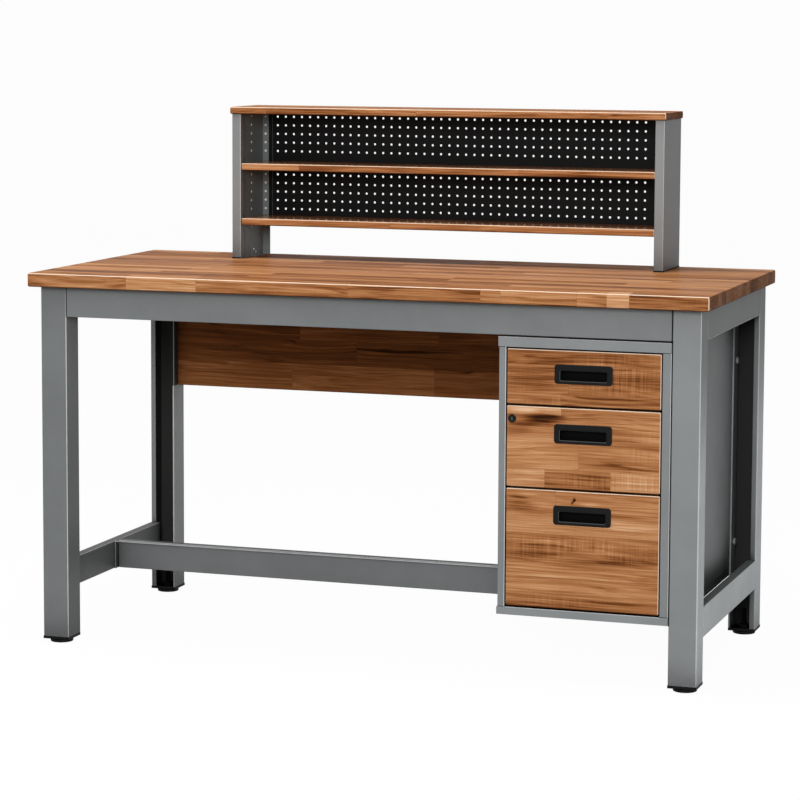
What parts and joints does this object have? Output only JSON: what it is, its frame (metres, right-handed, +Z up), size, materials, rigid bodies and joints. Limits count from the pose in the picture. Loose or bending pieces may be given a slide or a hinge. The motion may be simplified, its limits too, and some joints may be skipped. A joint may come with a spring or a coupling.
{
  "type": "workbench",
  "caption": "Workbench with a wooden top, folded steel frame, a drawer cabinet on one side and a riser with shelves and perforated panels.",
  "frame": {"origin": "middle of the bench's box, on the floor under the feet", "axes": "+X to the right along the tabletop, +Y to the rear, +Z up; the drawers open towards -Y"},
  "size_m": [1.5, 0.68, 1.163],
  "materials": {
    "oiled_wood": "satin oiled butcher block",
    "grey_powder_coat": "satin powder coat",
    "black_powder_coat": "fine textured powder coat",
    "black_plastic": "matte",
    "zinc_steel": "bright zinc"
  },
  "bodies": {
    "frame": {"bench_top": "oiled_wood", "modesty_panel": "oiled_wood", "riser_board": "oiled_wood", "riser_shelf_upper": "oiled_wood", "riser_shelf_lower": "oiled_wood", "leg_front_left": "grey_powder_coat", "leg_front_right": "grey_powder_coat", "leg_rear_left": "grey_powder_coat", "leg_rear_right": "grey_powder_coat", "front_rail": "grey_powder_coat", "rear_rail": "grey_powder_coat", "upper_side_rail_left": "grey_powder_coat", "upper_side_rail_right": "grey_powder_coat", "lower_side_rail_left": "grey_powder_coat", "lower_side_rail_right": "grey_powder_coat", "stretcher": "grey_powder_coat", "cabinet_cap": "grey_powder_coat", "cabinet_base": "grey_powder_coat", "cabinet_side_left": "grey_powder_coat", "cabinet_side_right": "grey_powder_coat", "cabinet_back": "grey_powder_coat", "slide_posts": "grey_powder_coat", "riser_upright_left": "grey_powder_coat", "riser_upright_right": "grey_powder_coat", "riser_plate_left": "grey_powder_coat", "riser_plate_right": "grey_powder_coat", "riser_brackets": "grey_powder_coat", "pegboard_upper": "black_powder_coat", "pegboard_lower": "black_powder_coat", "foot_plates": "black_powder_coat", "slide_outers": "zinc_steel", "frame_bolts": "zinc_steel", "cabinet_bolts": "zinc_steel"},
    "drawer_top": {"drawer_front_top": "oiled_wood", "drawer_box_top": "grey_powder_coat", "pull_top": "black_plastic", "slide_inner_top": "zinc_steel"},
    "slide_top": {"slide_middle_top": "zinc_steel"},
    "drawer_middle": {"drawer_front_middle": "oiled_wood", "drawer_box_middle": "grey_powder_coat", "pull_middle": "black_plastic", "slide_inner_middle": "zinc_steel", "lock_housing": "black_powder_coat", "lock_ring_nut": "black_powder_coat"},
    "slide_middle": {"slide_middle_middle": "zinc_steel"},
    "drawer_bottom": {"drawer_front_bottom": "oiled_wood", "drawer_box_bottom": "grey_powder_coat", "pull_bottom": "black_plastic", "slide_inner_bottom": "zinc_steel"},
    "slide_bottom": {"slide_middle_bottom": "zinc_steel"},
    "lock": {"lock_plug": "zinc_steel", "lock_cam": "zinc_steel"},
    "pad_front_left": {"foot_pad_front_left": "black_plastic"},
    "stem_front_left": {"foot_stem_front_left": "zinc_steel"},
    "pad_front_right": {"foot_pad_front_right": "black_plastic"},
    "stem_front_right": {"foot_stem_front_right": "zinc_steel"},
    "pad_rear_left": {"foot_pad_rear_left": "black_plastic"},
    "stem_rear_left": {"foot_stem_rear_left": "zinc_steel"},
    "pad_rear_right": {"foot_pad_rear_right": "black_plastic"},
    "stem_rear_right": {"foot_stem_rear_right": "zinc_steel"}
  },
  "joints": [
    {"name": "drawer_top_slide", "type": "slide", "parent": "frame", "child": "drawer_top", "axis": [0, -1, 0], "range_m": [0, 0.48]},
    {"name": "slide_top_travel", "type": "slide", "parent": "frame", "child": "slide_top", "axis": [0, -1, 0], "range_m": [0, 0.24]},
    {"name": "drawer_middle_slide", "type": "slide", "parent": "frame", "child": "drawer_middle", "axis": [0, -1, 0], "range_m": [0, 0.48]},
    {"name": "slide_middle_travel", "type": "slide", "parent": "frame", "child": "slide_middle", "axis": [0, -1, 0], "range_m": [0, 0.24]},
    {"name": "drawer_bottom_slide", "type": "slide", "parent": "frame", "child": "drawer_bottom", "axis": [0, -1, 0], "range_m": [0, 0.48]},
    {"name": "slide_bottom_travel", "type": "slide", "parent": "frame", "child": "slide_bottom", "axis": [0, -1, 0], "range_m": [0, 0.24]},
    {"name": "lock_turn", "type": "hinge", "parent": "drawer_middle", "child": "lock", "pos_m": [0.3358, -0.315, 0.548], "axis": [0, -1, 0], "range_deg": [0, 90]},
    {"name": "foot_front_left_height", "type": "slide", "parent": "frame", "child": "pad_front_left", "axis": [0, 0, -1], "range_m": [0, 0.012]},
    {"name": "stem_front_left_turn", "type": "hinge", "parent": "pad_front_left", "child": "stem_front_left", "pos_m": [-0.7, -0.285, 0.003], "axis": [0, 0, 1], "range_deg": [0, 2880.1]},
    {"name": "foot_front_right_height", "type": "slide", "parent": "frame", "child": "pad_front_right", "axis": [0, 0, -1], "range_m": [0, 0.012]},
    {"name": "stem_front_right_turn", "type": "hinge", "parent": "pad_front_right", "child": "stem_front_right", "pos_m": [0.7, -0.285, 0.003], "axis": [0, 0, 1], "range_deg": [0, 2880.1]},
    {"name": "foot_rear_left_height", "type": "slide", "parent": "frame", "child": "pad_rear_left", "axis": [0, 0, -1], "range_m": [0, 0.012]},
    {"name": "stem_rear_left_turn", "type": "hinge", "parent": "pad_rear_left", "child": "stem_rear_left", "pos_m": [-0.7, 0.305, 0.003], "axis": [0, 0, 1], "range_deg": [0, 2880.1]},
    {"name": "foot_rear_right_height", "type": "slide", "parent": "frame", "child": "pad_rear_right", "axis": [0, 0, -1], "range_m": [0, 0.012]},
    {"name": "stem_rear_right_turn", "type": "hinge", "parent": "pad_rear_right", "child": "stem_rear_right", "pos_m": [0.7, 0.305, 0.003], "axis": [0, 0, 1], "range_deg": [0, 2880.1]}
  ],
  "couplings": [
    {"joint": "slide_top_travel", "follows": "drawer_top_slide", "ratio": 0.5},
    {"joint": "slide_middle_travel", "follows": "drawer_middle_slide", "ratio": 0.5},
    {"joint": "slide_bottom_travel", "follows": "drawer_bottom_slide", "ratio": 0.5},
    {"joint": "stem_front_left_turn", "follows": "foot_front_left_height", "rad_per_m": 4188.8},
    {"joint": "stem_front_right_turn", "follows": "foot_front_right_height", "rad_per_m": 4188.8},
    {"joint": "stem_rear_left_turn", "follows": "foot_rear_left_height", "rad_per_m": 4188.8},
    {"joint": "stem_rear_right_turn", "follows": "foot_rear_right_height", "rad_per_m": 4188.8}
  ]
}
